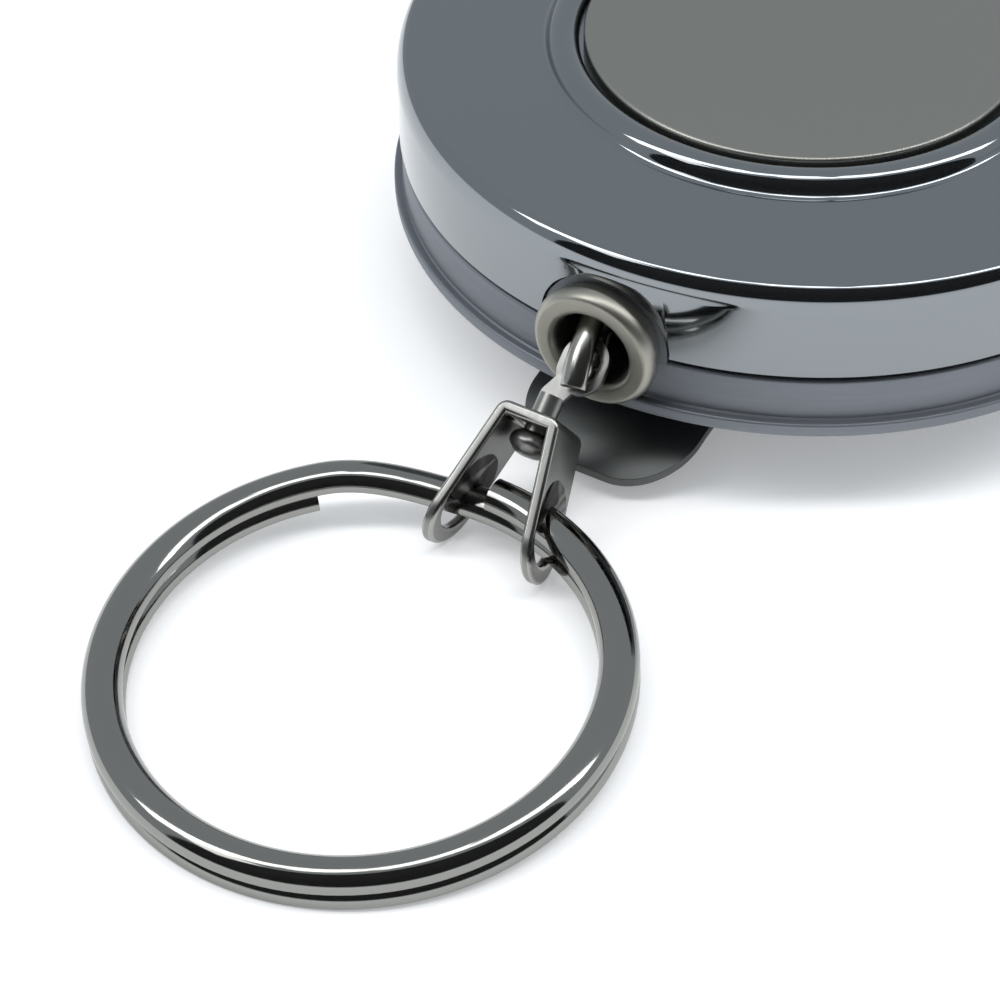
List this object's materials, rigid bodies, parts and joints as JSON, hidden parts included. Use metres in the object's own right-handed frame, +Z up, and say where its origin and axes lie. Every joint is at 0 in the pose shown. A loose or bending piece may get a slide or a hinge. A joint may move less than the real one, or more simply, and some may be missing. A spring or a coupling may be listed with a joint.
{
  "type": "retractable badge reel",
  "caption": "Round spring-wound reel with a chrome front, a folded belt clip, and a chain that leaves an eyelet to a swivel stirrup and a split key ring.",
  "frame": {"origin": "on the flat outer face of the belt clip's long leaf, under the axis of the drum; the reel lies on this face", "axes": "+Z up along the drum's axis towards the badge, -Y the way the chain leaves, +X to the right of the eyelet"},
  "size_m": [0.0498, 0.086, 0.0161],
  "materials": {
    "chrome_shell": "polished chrome plate",
    "satin_nickel": "fine satin nickel",
    "brushed_back": "brushed round the case",
    "warm_nickel": "plain nickel plate",
    "plain_steel": "bare dull steel",
    "spring_steel": "dark polished spring steel",
    "polished_steel": "polished nickel plate",
    "chain_steel": "nickel-plated chain",
    "washer_brass": "plain",
    "drum_nylon": "moulded nylon"
  },
  "bodies": {
    "case": {"front_cover": "chrome_shell", "badge_disc": "satin_nickel", "rear_cover": "brushed_back", "eyelet": "warm_nickel", "eyelet_washer": "plain_steel", "clip_base": "spring_steel", "clip_rivets": "plain_steel", "arbor": "plain_steel", "arbor_screw": "plain_steel", "thrust_washer": "washer_brass", "top_washer": "washer_brass", "retaining_ring": "spring_steel", "power_spring": "spring_steel", "chain_run": "chain_steel"},
    "drum": {"spool_drum": "drum_nylon", "spool_flange": "drum_nylon", "spring_cover": "plain_steel", "chain_anchor_pin": "plain_steel", "wound_chain": "chain_steel"},
    "chain_end": {"end_link": "polished_steel"},
    "swivel": {"swivel_eye": "plain_steel"},
    "bail": {"stirrup": "polished_steel"},
    "key_ring": {"split_ring": "polished_steel"},
    "clip_leaf": {"clip_tongue": "spring_steel"}
  },
  "joints": [
    {"name": "chain_pull", "type": "slide", "parent": "case", "child": "chain_end", "axis": [0, -1, 0], "range_m": [0, 0.6], "stiffness_N_per_m": 3, "springref_m": -0.4, "deforming": ["chain_run"]},
    {"name": "spool_spin", "type": "hinge", "parent": "case", "child": "drum", "pos_m": [0, 0, 0.00975], "axis": [0, 0, 1], "range_deg": [-90, 2200], "deforming": ["power_spring"]},
    {"name": "eye_tilt", "type": "hinge", "parent": "chain_end", "child": "swivel", "pos_m": [-0.0003, -0.02563, 0.0087], "axis": [-0.9903, -0.1104, -0.0847], "range_deg": [-8, 10]},
    {"name": "swivel_turn", "type": "hinge", "parent": "swivel", "child": "bail", "pos_m": [-0.0013, -0.02563, 0.0087], "axis": [0, -0.7934, -0.6088], "continuous": true},
    {"name": "ring_swing", "type": "hinge", "parent": "bail", "child": "key_ring", "pos_m": [-0.00215, -0.0327, 0.00296], "axis": [-1, 0, 0], "range_deg": [-40, 75]},
    {"name": "clip_flex", "type": "hinge", "parent": "case", "child": "clip_leaf", "pos_m": [0, 0.019, 0.00266], "axis": [1, 0, 0], "range_deg": [0, 8], "stiffness_Nm_per_rad": 0.5, "springref_deg": -5.73}
  ],
  "couplings": [
    {"joint": "spool_spin", "follows": "chain_pull", "rad_per_m": 60.606}
  ]
}
